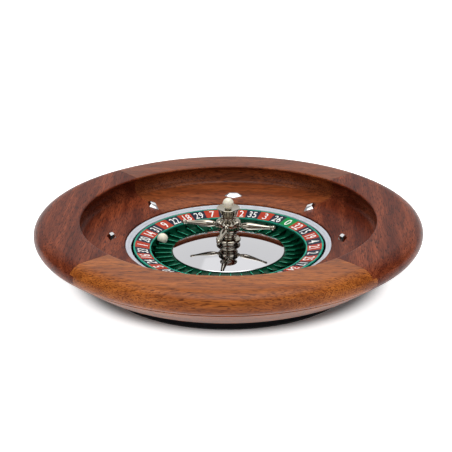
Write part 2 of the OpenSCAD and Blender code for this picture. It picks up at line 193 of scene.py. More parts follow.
def flowing(points: Sequence[Point], steps: int = 5) -> list[Point]:
    """Smooth curve through points, as a turner's gouge leaves it.

    Args:
        points: The points that the curve goes through.
        steps: Stretches between two of them.

    Returns:
        The curve's points, ends included.
    """
    path = [Vector(p) for p in points]
    path = [2 * path[0] - path[1], *path, 2 * path[-1] - path[-2]]
    curve: list[Point] = []
    for a, b, c, d in zip(path, path[1:], path[2:], path[3:]):
        for step in range(steps):
            t = step / steps
            bend, twist = 2 * a - 5 * b + 4 * c - d, 3 * b - a - 3 * c + d
            curve.append(tuple(0.5 * (2 * b + (c - a) * t + bend * t ** 2 + twist * t ** 3)))
    return [*curve, tuple(points[-1])]


# Geometry Nodes


def new_tree(name: str, sockets: Iterable[tuple[str, str, object]]) -> tuple[Tree, bpy.types.NodeOutputs]:
    """Starts a geometry tree with named inputs.

    Args:
        name: The tree's name.
        sockets: Name, socket type and default of each input after the geometry.

    Returns:
        The tree and the sockets of its input node.
    """
    tree = bpy.data.node_groups.new(name, "GeometryNodeTree")
    tree.interface.new_socket("Geometry", in_out="INPUT", socket_type="NodeSocketGeometry")
    for label, kind, default in sockets:
        socket = tree.interface.new_socket(label, in_out="INPUT", socket_type=f"NodeSocket{kind}")
        if default is not None:
            socket.default_value = default
    tree.interface.new_socket("Geometry", in_out="OUTPUT", socket_type="NodeSocketGeometry")
    return tree, add_node(tree, "NodeGroupInput").outputs


def end_tree(tree: Tree, geometry: Socket, finish: Socket) -> None:
    """Ends a geometry tree with real geometry and its material.

    Args:
        tree: The tree.
        geometry: What it has made.
        finish: The material input.
    """
    real = add_node(tree, "GeometryNodeRealizeInstances", {"Geometry": geometry})
    dressed = add_node(tree, "GeometryNodeSetMaterial", {"Geometry": real.outputs[0], "Material": finish})
    add_node(tree, "NodeGroupOutput", {"Geometry": dressed.outputs[0]})


def turning_tree() -> Tree:
    """Builds the tree that turns a flat sheet round the Z axis, as a lathe turns a blank.

    The sheet holds the radius in X, the share of the sweep in Y and the height in Z. The named attribute
    "fluted" says how deep the flutes are cut at each point.

    Returns:
        The tree, with inputs Start Angle, Sweep Angle, Flutes, Flute Depth and Finish.
    """
    tree, given = new_tree("turning", [
        ("Start Angle", "Float", 0.0), ("Sweep Angle", "Float", FULL_TURN), ("Flutes", "Float", 0.0),
        ("Flute Depth", "Float", 0.0), ("Finish", "Material", None)])
    calc = sums(tree)
    position = add_node(tree, "GeometryNodeInputPosition").outputs[0]
    flat_r, share, height = add_node(tree, "ShaderNodeSeparateXYZ", {0: position}).outputs
    swept = calc("MULTIPLY_ADD", share, given["Sweep Angle"], given["Start Angle"])
    flute = calc("MULTIPLY", calc("DIVIDE", swept, FULL_TURN), given["Flutes"])
    hollow = calc("SUBTRACT", 1.0, calc("POWER", calc("PINGPONG", flute, 1.0), 2.0))
    mask = add_node(tree, "GeometryNodeInputNamedAttribute", {"Name": "fluted"}, data_type="FLOAT").outputs[0]
    cut = calc("MULTIPLY", hollow, calc("MULTIPLY", given["Flute Depth"], mask))
    radius = calc("SUBTRACT", flat_r, cut)
    angle = calc("RADIANS", swept)
    x, y = (calc("MULTIPLY", radius, calc(way, angle)) for way in ("COSINE", "SINE"))
    moved = add_node(tree, "ShaderNodeCombineXYZ", {0: x, 1: y, 2: height})
    sheet = add_node(tree, "GeometryNodeSetPosition", {"Geometry": given[0], "Position": moved.outputs[0]})
    closed = add_node(tree, "GeometryNodeMergeByDistance", {"Geometry": sheet.outputs[0], "Distance": MERGE})
    end_tree(tree, closed.outputs[0], given["Finish"])
    return tree


def ring_tree() -> Tree:
    """Builds the tree that repeats a piece round the Z axis.

    Returns:
        The tree, with inputs Count, First Angle, Step Angle and Finish.
    """
    tree, given = new_tree("ring_of_copies", [
        ("Count", "Int", 1), ("First Angle", "Float", 0.0), ("Step Angle", "Float", 0.0),
        ("Finish", "Material", None)])
    calc = sums(tree)
    points = add_node(tree, "GeometryNodePoints", {"Count": given["Count"]})
    index = add_node(tree, "GeometryNodeInputIndex").outputs[0]
    angle = calc("RADIANS", calc("MULTIPLY_ADD", index, given["Step Angle"], given["First Angle"]))
    turn = add_node(tree, "ShaderNodeCombineXYZ", {2: angle})
    copies = add_node(tree, "GeometryNodeInstanceOnPoints", {
        "Points": points.outputs[0], "Instance": given[0], "Rotation": turn.outputs[0]})
    end_tree(tree, copies.outputs[0], given["Finish"])
    return tree


TURNING = turning_tree()
RING = ring_tree()


def baked(piece: Piece) -> Piece:
    """Turns a piece and its modifiers into a plain mesh.

    Args:
        piece: The object, whose modifiers are removed.

    Returns:
        The same object.
    """
    graph = bpy.context.evaluated_depsgraph_get()
    mesh = bpy.data.meshes.new_from_object(piece.evaluated_get(graph))
    piece.modifiers.clear()
    piece.data = mesh
    return piece


def run_tree(piece: Piece, tree: Tree, **values: object) -> Piece:
    """Runs a geometry tree on a piece and keeps the result as a plain mesh.

    Args:
        piece: The object that holds the tree's starting mesh.
        tree: The geometry tree.
        **values: The tree's inputs, with underscores for spaces in their names.

    Returns:
        The same object.
    """
    modifier = piece.modifiers.new("shape", "NODES")
    modifier.node_group = tree
    for item in tree.interface.items_tree:
        key = item.name.replace(" ", "_")
        if item.in_out == "INPUT" and key in values:
            modifier[item.identifier] = values[key]
    return baked(piece)


# Making and handing over pieces


def mesh_piece(name: str, vertices: Sequence, faces: Sequence) -> Piece:
    """Makes an object from vertices in metres.

    Args:
        name: The piece's name.
        vertices: The points.
        faces: Vertex numbers of each face.

    Returns:
        The object, linked to the scene.
    """
    mesh = bpy.data.meshes.new(name)
    mesh.from_pydata(vertices, [], faces)
    piece = bpy.data.objects.new(name, mesh)
    bpy.context.scene.collection.objects.link(piece)
    return piece


def drawn_in(outline: Sequence[Point], depth: float) -> list[Point]:
    """Draws an outline in towards its middle, as sandpaper breaks the arris at its ends.

    Args:
        outline: The closed outline.
        depth: How far, in mm. Hollow stretches move by a part of it, outwards.

    Returns:
        The outline's new points.
    """
    hollow_share = 0.3
    count = len(outline)
    middle = Vector((sum(p[0] for p in outline), sum(p[1] for p in outline))) / count
    points = []
    for i, p in enumerate(outline):
        along = (Vector(outline[(i + 1) % count]) - Vector(outline[i - 1])).normalized()
        inward = Vector((-along.y, along.x))
        if inward.dot(middle - Vector(p)) < 0:
            inward = inward * hollow_share
        points.append(tuple(Vector(p) + inward * depth))
    return points


def banded(count: int, bands: int) -> list[tuple[int, ...]]:
    """Returns the faces between closed rows of count points, for a number of bands."""
    return [(row + i, row + (i + 1) % count, row + count + (i + 1) % count, row + count + i)
            for row in range(0, bands * count, count) for i in range(count)]


def turned(name: str, outline: Sequence[Point], finish: "Finish", start: float = 0, sweep: float = FULL_TURN,
           steps: int = 128, flutes: int = 0, flute_depth: float = 0, fluted: Sequence[float] = (),
           seam: float = 0) -> Piece:
    """Turns a closed outline round the Z axis.

    Args:
        name: The piece's name.
        outline: Radius and height of the closed outline's points, in mm.
        finish: The piece's finish.
        start: First angle in degrees.
        sweep: Angle of the turned stretch. Under 360 the ends are closed.
        steps: Stretches round the sweep.
        flutes: Number of flutes round the piece.
        flute_depth: Depth of the flutes in mm.
        fluted: Share of that depth at each point of the outline.
        seam: Bevel in mm of the ends of an open sweep, where it meets its neighbour.

    Returns:
        The turned object.
    """
    shares = [i / steps for i in range(steps + 1)]
    rows = [list(outline) for _ in shares]
    if seam:
        edge = math.degrees(seam / max(p[0] for p in outline)) / sweep
        shares = [0.0, edge, *shares[1:-1], 1 - edge, 1.0]
        end = drawn_in(outline, seam)
        rows = [end, *[list(outline)] * (len(shares) - 2), end]
    count = len(outline)
    vertices = [(r * MM, share, z * MM) for share, row in zip(shares, rows) for r, z in row]
    faces = banded(count, len(shares) - 1)
    if sweep < FULL_TURN:
        faces += [tuple(range(count)), tuple(range(len(vertices) - count, len(vertices)))]
    piece = mesh_piece(name, vertices, faces)
    depths = piece.data.attributes.new("fluted", "FLOAT", "POINT")
    depths.data.foreach_set("value", (list(fluted) or [0.0] * count) * len(shares))
    run_tree(piece, TURNING, Start_Angle=float(start), Sweep_Angle=float(sweep), Flutes=float(flutes),
             Flute_Depth=flute_depth * MM, Finish=finish.material())
    return tidied(piece)


def tidied(piece: Piece, sharp: float = SHARP) -> Piece:
    """Closes a mesh, turns its faces outwards and shades it smoothly between its hard edges.

    Args:
        piece: The object.
        sharp: Angle in degrees past which an edge stays hard.

    Returns:
        The same object.
    """
    mesh = bmesh.new()
    mesh.from_mesh(piece.data)
    bmesh.ops.remove_doubles(mesh, verts=mesh.verts, dist=MERGE)
    bmesh.ops.dissolve_degenerate(mesh, edges=mesh.edges, dist=1e-6)
    bmesh.ops.recalc_face_normals(mesh, faces=mesh.faces)
    mesh.to_mesh(piece.data)
    mesh.free()
    piece.data.shade_smooth()
    piece.data.set_sharp_from_angle(angle=math.radians(sharp))
    return piece


def ringed(piece: Piece, finish: "Finish", count: int, first: float, step: float) -> Piece:
    """Repeats a piece round the Z axis.

    Args:
        piece: One copy, placed as if its angle were 0.
        finish: The copies' finish.
        count: Number of copies.
        first: Angle of the first copy.
        step: Angle from one copy to the next.

    Returns:
        The same object, now with every copy.
    """
    run_tree(piece, RING, Count=count, First_Angle=float(first), Step_Angle=float(step),
             Finish=finish.material())
    piece.data.set_sharp_from_angle(angle=math.radians(SHARP))
    return piece


def bevelled(piece: Piece, width: float, limit: float = 30) -> Piece:
    """Breaks a piece's hard edges.

    Args:
        piece: The object.
        width: The bevel's width in mm.
        limit: Angle in degrees past which an edge is broken.

    Returns:
        The same object.
    """
    bevel = piece.modifiers.new("arris", "BEVEL")
    bevel.width, bevel.segments = width * MM, 2
    bevel.limit_method, bevel.angle_limit = "ANGLE", math.radians(limit)
    return baked(piece)


def boolean(piece: Piece, other: Piece, operation: str) -> Piece:
    """Cuts or joins a piece with another solid, which is used up.

    Args:
        piece: The object to change.
        other: The tool.
        operation: DIFFERENCE, UNION or INTERSECT.

    Returns:
        The changed piece.
    """
    modifier = piece.modifiers.new("cut", "BOOLEAN")
    modifier.operation = operation
    modifier.object = other
    modifier.solver = "EXACT"
    baked(piece)
    bpy.data.objects.remove(other)
    return piece


def hand_over(piece: Piece, body: Body, slot: str, *nodes: str) -> Piece:
    """Gives a finished piece to the frame.

    Args:
        piece: The piece.
        body: The body that it rides on.
        slot: The record's material slot; not used.
        *nodes: CAD nodes that it stands for.

    Returns:
        The piece.
    """
    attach(piece, body.value)
    if nodes:
        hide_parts(*nodes)
    stands_for = ", ".join(nodes) or "no node"
    LOG.info("%s: %d faces on %s, for %s", piece.name, len(piece.data.polygons), body.value, stands_for)
    return piece


# Finishes


@dataclass(frozen=True)
class Finish:
    """A named surface finish, built as a material the first time that a piece needs it."""

    name: str

    def material(self) -> bpy.types.Material:
        """Returns the finish's material."""
        found = bpy.data.materials.get(self.name)
        if found:
            return found
        made = bpy.data.materials.new(self.name)
        made.use_nodes = True
        made.node_tree.nodes.clear()
        surface = self.surface(made.node_tree)
        add_node(made.node_tree, "ShaderNodeOutputMaterial", {"Surface": surface})
        return made

    def surface(self, tree: Tree) -> Socket:
        """Builds the finish's shader and returns its output."""
        raise NotImplementedError

    def dress(self, node: str) -> None:
        """Gives the finish to a CAD node that stays as it is.

        Args:
            node: The CAD node's name.
        """
        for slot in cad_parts[node].material_slots:
            slot.link = "OBJECT"
            slot.material = self.material()
        LOG.info("%s: kept from the frame, in %s", node, self.name)


def place_on(tree: Tree, turn: float = 0, stretch: Triple = (1, 1, 1), shift: Triple = (0, 0, 0)) -> Socket:
    """Object coordinates, turned about Z, moved and stretched for a pattern.

    Args:
        tree: The material's tree.
        turn: Turn about Z in degrees.
        stretch: How many times longer the pattern is along each axis.
        shift: Move in metres, before the stretch.

    Returns:
        The coordinates.
    """
    place = add_node(tree, "ShaderNodeTexCoord").outputs["Object"]
    turned_place = add_node(tree, "ShaderNodeMapping", {
        "Vector": place, "Rotation": (0, 0, math.radians(-turn)), "Location": shift})
    return add_node(tree, "ShaderNodeMapping", {
        "Vector": turned_place.outputs[0], "Scale": tuple(1 / s for s in stretch)}).outputs[0]


def cloud(tree: Tree, size: float, detail: float) -> Socket:
    """Returns a noise pattern with patches of size millimetres."""
    return add_node(tree, "ShaderNodeTexNoise", {
        "Vector": place_on(tree), "Scale": per_mm(size), "Detail": detail}).outputs[0]


def graded(tree: Tree, value: Socket, low: float, high: float, to_low: float = 0,
           to_high: float = 1) -> Socket:
    """Maps a pattern's value from one range to another, held at the ends.

    Args:
        tree: The tree of a material or the world.
        value: The pattern's output.
        low: Value that becomes to_low.
        high: Value that becomes to_high.
        to_low: Result at low.
        to_high: Result at high.

    Returns:
        The mapped value.
    """
    return add_node(tree, "ShaderNodeMapRange", {
        "Value": value, "From Min": low, "From Max": high, "To Min": to_low, "To Max": to_high},
        interpolation_type="SMOOTHSTEP").outputs[0]


def blend(tree: Tree, factor: Socket | float, first: object, second: object, mode: str = "MIX") -> Socket:
    """Mixes two colours.

    Args:
        tree: The material's tree.
        factor: Share of the second colour.
        first: A colour or a socket.
        second: A colour or a socket.
        mode: How they are mixed.

    Returns:
        The mixed colour.
    """
    return add_node(tree, "ShaderNodeMix", {0: factor, 6: first, 7: second}, data_type="RGBA",
                    blend_type=mode).outputs[2]


def shaded(tree: Tree, colour: object, shade: Socket) -> Socket:
    """Makes a colour lighter or darker by a factor."""
    grey = add_node(tree, "ShaderNodeCombineColor", {0: shade, 1: shade, 2: shade})
    return blend(tree, 1.0, colour, grey.outputs[0], "MULTIPLY")


def rings(tree: Tree, place: Socket, pitch: float, axis: str, inputs: dict, profile: str = "SIN") -> Socket:
    """Rings about an axis.

    Args:
        tree: The material's tree.
        place: The coordinates.
        pitch: Distance from ring to ring in mm.
        axis: X or Z.
        inputs: The wave's other inputs.
        profile: The wave's profile.

    Returns:
        The pattern.
    """
    waves_per_unit = 20
    return add_node(tree, "ShaderNodeTexWave", {
        "Vector": place, "Scale": math.tau / (waves_per_unit * pitch * MM), **inputs},
        wave_type="RINGS", rings_direction=axis, wave_profile=profile).outputs["Fac"]


def bumped(tree: Tree, height: Socket, strength: float, depth: float) -> Socket:
    """Returns the normal of a surface with a relief of depth millimetres."""
    return add_node(tree, "ShaderNodeBump", {
        "Height": height, "Strength": strength, "Distance": depth * MM}).outputs[0]


def coated(tree: Tree, colour: object, roughness: Socket | float, inputs: dict | None = None) -> Socket:
    """Returns the shader of a surface, from its colour, its roughness and the shader's other inputs."""
    return add_node(tree, "ShaderNodeBsdfPrincipled", {
        "Base Color": colour, "Roughness": roughness, **(inputs or {})}).outputs[0]


@dataclass(frozen=True)
class LacqueredMahogany(Finish):
    """Mahogany, turned, sanded and sprayed with satin lacquer: long fibres, open pores and ribbon stripes.

    Lengths and widths are in mm. The pith lies that far across the grain and up.
    """

    pale: str
    middle: str
    deep: str
    pore: str
    grain: Grain
    pith: Point
    fibre_size: Point = (46, 1.1)
    fibre_shades: Point = (0.62, 1.3)
    pore_size: Point = (11, 1.0)
    pore_depth: float = 0.85
    ring_width: float = 6.5
    ring_depth: float = 0.4
    ribbon_width: float = 17
    ribbon_depth: float = 0.55
    wander: float = 20
    wander_length: float = 70
    roughness: float = 0.32
    specular: float = 0.16

    def surface(self, tree: Tree) -> Socket:
        """Builds the wood's shader and returns its output."""
        turn = self.grain.value
        noise = add_node(tree, "ShaderNodeTexNoise", {
            "Vector": place_on(tree, turn, (5, 1, 1)), "Scale": per_mm(self.wander_length), "Detail": 2.0})
        centred = add_node(tree, "ShaderNodeVectorMath", {
            0: noise.outputs["Color"], 1: (0.5, 0.5, 0.5)}, operation="SUBTRACT")
        drift = add_node(tree, "ShaderNodeVectorMath", {
            0: centred.outputs[0], "Scale": self.wander * MM}, operation="SCALE")

        def along_grain(shift: Triple = (0, 0, 0)) -> Socket:
            """Coordinates along the grain, which wanders a little."""
            straight = place_on(tree, turn, shift=shift)
            return add_node(tree, "ShaderNodeVectorMath", {0: straight, 1: drift.outputs[0]}).outputs[0]

        def streaks(length: float, width: float, detail: float, roughness: float = 0.5) -> Socket:
            """Noise in streaks of that length and width in mm."""
            scale = (per_mm(length), per_mm(width), per_mm(width))
            place = add_node(tree, "ShaderNodeVectorMath", {0: along_grain(), 1: scale}, operation="MULTIPLY")
            return add_node(tree, "ShaderNodeTexNoise", {
                "Vector": place.outputs[0], "Scale": 1.0, "Detail": detail,
                "Roughness": roughness}).outputs[0]

        ribbon = streaks(self.ribbon_width * 14, self.ribbon_width, 2.5, 0.6)
        fibres = streaks(*self.fibre_size, 3.0, 0.62)
        pores = graded(tree, streaks(*self.pore_size, 1.0), 0.54, 0.66, 0.0, self.pore_depth)
        yearly = rings(tree, along_grain((0, self.pith[0] * MM, self.pith[1] * MM)), self.ring_width, "X",
                       {"Distortion": 3.5, "Detail": 2.0, "Detail Scale": 0.6}, "SAW")
        tone = blend(tree, graded(tree, ribbon, 0.36, 0.64), linear(self.deep), linear(self.pale))
        tone = blend(tree, self.ribbon_depth, linear(self.middle), tone)
        tone = blend(tree, graded(tree, yearly, 0.55, 1.0, 0.0, self.ring_depth), tone, linear(self.deep))
        tone = shaded(tree, tone, graded(tree, fibres, 0.3, 0.7, *self.fibre_shades))
        tone = blend(tree, pores, tone, linear(self.pore))
        relief = sums(tree)("SUBTRACT", graded(tree, fibres, 0.3, 0.7), pores)
        return coated(tree, tone, self.roughness, {
            "Specular IOR Level": self.specular, "Normal": bumped(tree, relief, 0.12, 0.3)})


@dataclass(frozen=True)
class PolishedPlate(Finish):
    """Nickel-chrome plate, buffed to a mirror, with the faintest haze left by the mop."""

    tint: str
    roughness: float = 0.03
    haze: float = 0.035

    def surface(self, tree: Tree) -> Socket:
        """Builds the plate's shader and returns its output."""
        rough = graded(tree, cloud(tree, 14, 3.0), 0.35, 0.75, self.roughness, self.roughness + self.haze)
        return coated(tree, linear(self.tint), rough, {"Metallic": 1.0})


@dataclass(frozen=True)
class TurnedMetal(Finish):
    """Bare metal faced on a lathe: fine rings about the axis that spread the highlight across them."""

    tint: str
    roughness: float = 0.3
    ring_pitch: float = 0.3
    ring_depth: float = 0.2
    wear: float = 0.05

    def surface(self, tree: Tree) -> Socket:
        """Builds the metal's shader and returns its output."""
        cuts = rings(tree, place_on(tree), self.ring_pitch, "Z", {"Distortion": 0.6, "Detail": 2.0})
        rough = graded(tree, cloud(tree, 9, 2.0), 0.3, 0.7, self.roughness - self.wear,
                       self.roughness + self.wear)
        return coated(tree, linear(self.tint), rough, {
            "Metallic": 1.0, "Normal": bumped(tree, cuts, self.ring_depth, 0.05)})


@dataclass(frozen=True)
class Enamel(Finish):
    """Stoved enamel on metal: deep colour under gloss, with slight orange peel and thinner places."""

    tint: str
    roughness: float = 0.22
    peel: float = 2.2
    variation: float = 0.08
    specular: float = 0.05

    def surface(self, tree: Tree) -> Socket:
        """Builds the enamel's shader and returns its output."""
        shade = graded(tree, cloud(tree, 7, 3.0), 0.3, 0.7, 1 - self.variation, 1 + self.variation)
        skin = bumped(tree, cloud(tree, self.peel, 1.0), 0.05, 0.1)
        return coated(tree, shaded(tree, linear(self.tint), shade), self.roughness, {
            "Specular IOR Level": self.specular, "Normal": skin})


@dataclass(frozen=True)
class RubbedGreen(Finish):
    """Dark green anodising on the separators, with a pale painted highlight on their upward-facing tops and
    painted shade on their sides.
    """

    tint: str
    rubbed: str
    specular: float = 0.2

    def surface(self, tree: Tree) -> Socket:
        """Builds the anodising's shader and returns its output."""
        normal = add_node(tree, "ShaderNodeNewGeometry").outputs["Normal"]
        upwards = add_node(tree, "ShaderNodeSeparateXYZ", {0: normal}).outputs["Z"]
        # Faces that point up get the pale colour, a painted highlight where light from above falls. The sides
        # keep the dark green as painted shade, and noise makes the highlight patchy.
        worn = graded(tree, cloud(tree, 6, 2.0), 0.3, 0.7, 0.75, 1.0)
        share = sums(tree)("MULTIPLY", graded(tree, upwards, 0.45, 0.8), worn)
        colour = blend(tree, share, linear(self.tint), linear(self.rubbed))
        return coated(tree, colour, 0.3, {"Specular IOR Level": self.specular})


@dataclass(frozen=True)
class CastResin(Finish):
    """Ivory-coloured acetal resin, turned and polished: milky, with light passing a little way in."""

    tint: str
    shadow: str
    depth: float = 1.5

    def surface(self, tree: Tree) -> Socket:
        """Builds the resin's shader and returns its output."""
        share = graded(tree, cloud(tree, 5, 2.0), 0.35, 0.65, 0.0, 0.5)
        return coated(tree, blend(tree, share, linear(self.tint), linear(self.shadow)), 0.16, {
            "IOR": 1.48, "Subsurface Weight": 0.15, "Subsurface Radius": (1.0, 0.8, 0.5),
            "Subsurface Scale": self.depth * MM})


@dataclass(frozen=True)
class NonSlipRubber(Finish):
    """Black rubber sheet with a fine moulded grain."""

    tint: str
    worn: str
    grain: float = 1.2

    def surface(self, tree: Tree) -> Socket:
        """Builds the rubber's shader and returns its output."""
        cells = add_node(tree, "ShaderNodeTexVoronoi", {
            "Vector": place_on(tree), "Scale": per_mm(self.grain)}).outputs["Distance"]
        colour = blend(tree, cells, linear(self.worn), linear(self.tint))
        return coated(tree, colour, 0.8, {"Normal": bumped(tree, cells, 0.3, 0.2)})


# The front and side mahoganies differ as the photographed boards do: golden and plain in front, redder, darker
# and striped at the sides. The back is the front's mahogany in deeper tones, as painted shade for the inside of
# the bowl at the back. No finish has the name of a frame's material, which would be used instead
GOLDEN_FRONT = LacqueredMahogany("mahogany_golden_x", "#B2672C", "#9F5625", "#7A3C15", "#471D08",
                                 Grain.ALONG_X, (60, -260))
# A darker copy of the front's mahogany: painted shade for the shaded inside of the bowl at the back
SHADED_BACK = LacqueredMahogany("mahogany_deep_x", "#97522B", "#854423", "#652E14", "#3A1607",
                              Grain.ALONG_X, (-150, -240))
RED_SIDE = LacqueredMahogany("mahogany_red_y", "#874228", "#753620", "#521F11", "#2E0F07",
                             Grain.ALONG_Y, (90, -300), ribbon_width=20, ribbon_depth=0.8, specular=0.07)
BLACK_LACQUER = Enamel("black_satin_lacquer", "#1C1A1D", roughness=0.38, variation=0.15)
PAD_RUBBER = NonSlipRubber("nonslip_rubber", "#151516", "#1D1D1F")
SILVER_LACQUER = Enamel("silver_stoved_lacquer", "#C0C3CB", roughness=0.4, variation=0.03, specular=0.2)
MIRROR_CONE = PolishedPlate("mirror_polished_cone", "#D6D6D9", 0.015)
MIRROR_DEFLECTOR = PolishedPlate("mirror_polished_deflector", "#EDEDEE")
MIRROR_TURRET = PolishedPlate("smoked_nickel_turret", "#AAA395")
RED_ENAMEL = Enamel("signal_red_enamel", "#B03C28")
BLACK_ENAMEL = Enamel("blue_black_enamel", "#262B3A")
ZERO_ENAMEL = Enamel("leaf_green_enamel", "#0F8440")
HOOP_ENAMEL = Enamel("sea_green_hoop_enamel", "#2C9C84", roughness=0.25)
WHITE_ENAMEL = Enamel("white_enamel", "#F2F2EE", roughness=0.3)
POCKET_PAINT = Enamel("deep_green_paint", "#003824", roughness=0.3, specular=0.15)
FRET_PAINT = RubbedGreen("rubbed_green_fret", "#00402B", "#3CBE95")
IVORY = CastResin("ivory_acetal", "#F7F1E0", "#EFE5CD")
ZINC_PLATE = TurnedMetal("zinc_plated_steel", "#A9AAAE", 0.35, 0.4)
GROUND_STEEL = TurnedMetal("ground_steel", "#B4B6BA", 0.25)
BEARING_STEEL = TurnedMetal("hardened_ring_steel", "#C6C8CC", 0.15, ring_depth=0.1)
CAGE_BRASS = TurnedMetal("machined_brass", "#C8A565", 0.3, 0.4)
HUB_ALUMINIUM = TurnedMetal("turned_aluminium", "#C8CACC", 0.32, 0.5)
BLACK_ANODISED = TurnedMetal("black_anodised_aluminium", "#242427", 0.4, 0.8)


# The bowl


@dataclass
class Bowl:
    """The wooden bowl on its black plinth, with the ring round the well and the eight deflectors.

    The bullnose has a width, a rise and a fall. The guides lie inside the wood and only lead the rounding of
    the underside's ends. Each deflector stands that far outwards and round from its even place. Each side has
    its first angle, its finish and its slot.
    """

    rim_r: float = 250
    rim_inner_r: float = 190.4
    rim_top_z: float = 81.5
    bullnose: Triple = (20, 14.8, 15.6)
    wood_bottom: Point = (205.6, 26.8)
    quirk: Profile = ((239.6, 52.0), (238.9, 52.9), (241.0, 53.6))
    guides: Profile = ((230, 66), (150, 40))
    rim_roll: Profile = ((14, -0.2), (3, -0.7), (1.1, -1.2), (0.3, -2.1))
    well_r: float = 127.5
    cove_r: float = 186.6
    cove_size: Point = (10.4, 12.6)
    cove_arc: Point = (66, -75)
    track: Profile = ((184, 53.8), (178, 52.9))
    apron: tuple[Point, Point] = ((168, 51.9), (141, 47))
    seat_lip: Profile = ((1.2, 0.1), (0.3, -0.1), (0, -0.5))
    ring_edge: Point = (134.9, 45.1)
    ring_high: Point = (133.9, 43.4)
    ring_low: Point = (126.7, 40.5)
    ring_t: float = 2
    ring_step: float = 0.42
    tongue_r: float = 228
    tongue_l: float = 7.5
    tongue_h: float = 10
    seam: float = 0.22
    plinth_r: float = 169
    pad_t: float = 2
    floor_z: float = 14
    deflectors: Profile = ((-6.7, 1.2), (-1.3, 0.8), (-2, 0.4), (0.6, 0.5), (-2.2, 1.8), (-1.5, 1), (-1.5, 1),
                           (-1.5, 1))
    deflector_r: float = 155
    deflector_size: Triple = (26, 12.5, 4.5)
    deflector_top: float = 0.54
    sides: dict = field(default_factory=lambda: {
        "front": (225, GOLDEN_FRONT, "mahogany_light"), "right": (315, RED_SIDE, "mahogany_dark"),
        "back": (45, SHADED_BACK, "mahogany_light"), "left": (135, RED_SIDE, "mahogany_dark")})

    @property
    def rim_mid_z(self) -> float:
        """Height of the rim's widest line."""
        return self.rim_top_z - self.bullnose[1]

    @property
    def apron_slope(self) -> float:
        """Slope of the apron in radians."""
        (high_r, high_z), (low_r, low_z) = self.apron
        return math.atan2(high_z - low_z, high_r - low_r)

    def section(self) -> list[Point]:
        """Returns the wood's section: underside, quirk, bullnose, flat rim, cove, apron and ring seat."""
        wide, up, down = self.bullnose
        nose_r, mid = self.rim_r - wide, self.rim_mid_z
        foot_r, foot_z = self.wood_bottom
        under = rounded([
            (self.well_r, foot_z, 0.5), (foot_r, foot_z, 1.0), *((r, z, 0.3) for r, z in self.quirk),
            *((r, z, 0) for r, z in self.guides)])[:-len(self.guides)]
        nose = arc((nose_r, mid), (wide, down), -55, 0, 18) + arc((nose_r, mid), (wide, up), 5, 90, 18)
        lip = flowing([(self.rim_inner_r + r, self.rim_top_z + z) for r, z in self.rim_roll], 3)
        cove = arc((self.cove_r, mid + 0.3), self.cove_size, *self.cove_arc, 28)
        apron = flowing([cove[-1], *self.track, self.apron[0]], 4)[1:]
        edge_r, edge_z = self.ring_edge
        seat = [self.apron[1], *((edge_r + r, edge_z + z) for r, z in self.seat_lip),
                (edge_r, self.ring_high[1] - self.ring_t), (self.well_r, self.ring_low[1] - self.ring_t)]
        return [*under, *nose, *lip, *cove, *apron, *seat]

    def tongue_block(self, start: float) -> Piece:
        """The block that a tongue fills, just past the seam at an angle.

        Args:
            start: The seam's angle in degrees.

        Returns:
            The block.
        """
        spans = ((self.tongue_r, self.rim_r + 5), (-0.02, self.tongue_l),
                 (self.rim_mid_z - self.tongue_h / 2, self.rim_mid_z + self.tongue_h / 2))
        corners = [tuple(c * MM for c in corner) for corner in product(*spans)]
        faces = [(0, 1, 3, 2), (4, 6, 7, 5), (0, 4, 5, 1), (2, 3, 7, 6), (0, 2, 6, 4), (1, 5, 7, 3)]
        block = mesh_piece("tongue_block", corners, faces)
        block.data.transform(Matrix.Rotation(math.radians(start), 4, "Z"))
        return block

    def segments(self) -> None:
        """Makes the four quarter segments, each with a tongue let into the next."""
        for side, (start, finish, slot) in self.sides.items():
            quarter = turned(f"mahogany_{side}", self.section(), finish, start, 90, steps=96, seam=self.seam)
            boolean(quarter, self.tongue_block(start), "DIFFERENCE")
            tongue = turned("tongue", self.section(), finish, start + 89.9, 4, steps=12)
            boolean(tongue, self.tongue_block(start + 90), "INTERSECT")
            boolean(quarter, tongue, "UNION")
            tidied(quarter)
            hand_over(quarter, Body.BOWL, slot, f"bowl_segment_{side}")

    def ring(self) -> None:
        """Makes the metal ring round the well, with the thin step that divides it."""
        (low_r, low_z), (high_r, high_z) = self.ring_low, self.ring_high
        slope = (high_z - low_z) / (high_r - low_r)
        step_r = low_r + self.ring_step * (high_r - low_r)
        step_z = low_z + (step_r - low_r) * slope
        outline = rounded([
            (low_r, low_z - self.ring_t, 0.2), (high_r, high_z - self.ring_t, 0.2), (high_r, high_z, 0.5),
            (step_r + 0.5, step_z + 0.35, 0.15), (step_r + 0.2, step_z - 0.15, 0.1), (low_r, low_z, 0.5)])
        piece = turned("well_ring", outline, SILVER_LACQUER, steps=192)
        hand_over(piece, Body.BOWL, "ring_steel", "apron_ring")

    def plinth(self) -> None:
        """Makes the black plinth."""
        top, well = self.wood_bottom[1], self.well_r + 0.5
        outline = rounded([(0, self.pad_t, 0), (self.plinth_r, self.pad_t, 1.4), (self.plinth_r, top, 0.6),
                           (well, top, 0.4), (well, self.floor_z, 1), (0, self.floor_z, 0)])
        piece = turned("black_plinth", outline, BLACK_LACQUER, steps=160)
        hand_over(piece, Body.BOWL, "black_lacquer", "plinth")

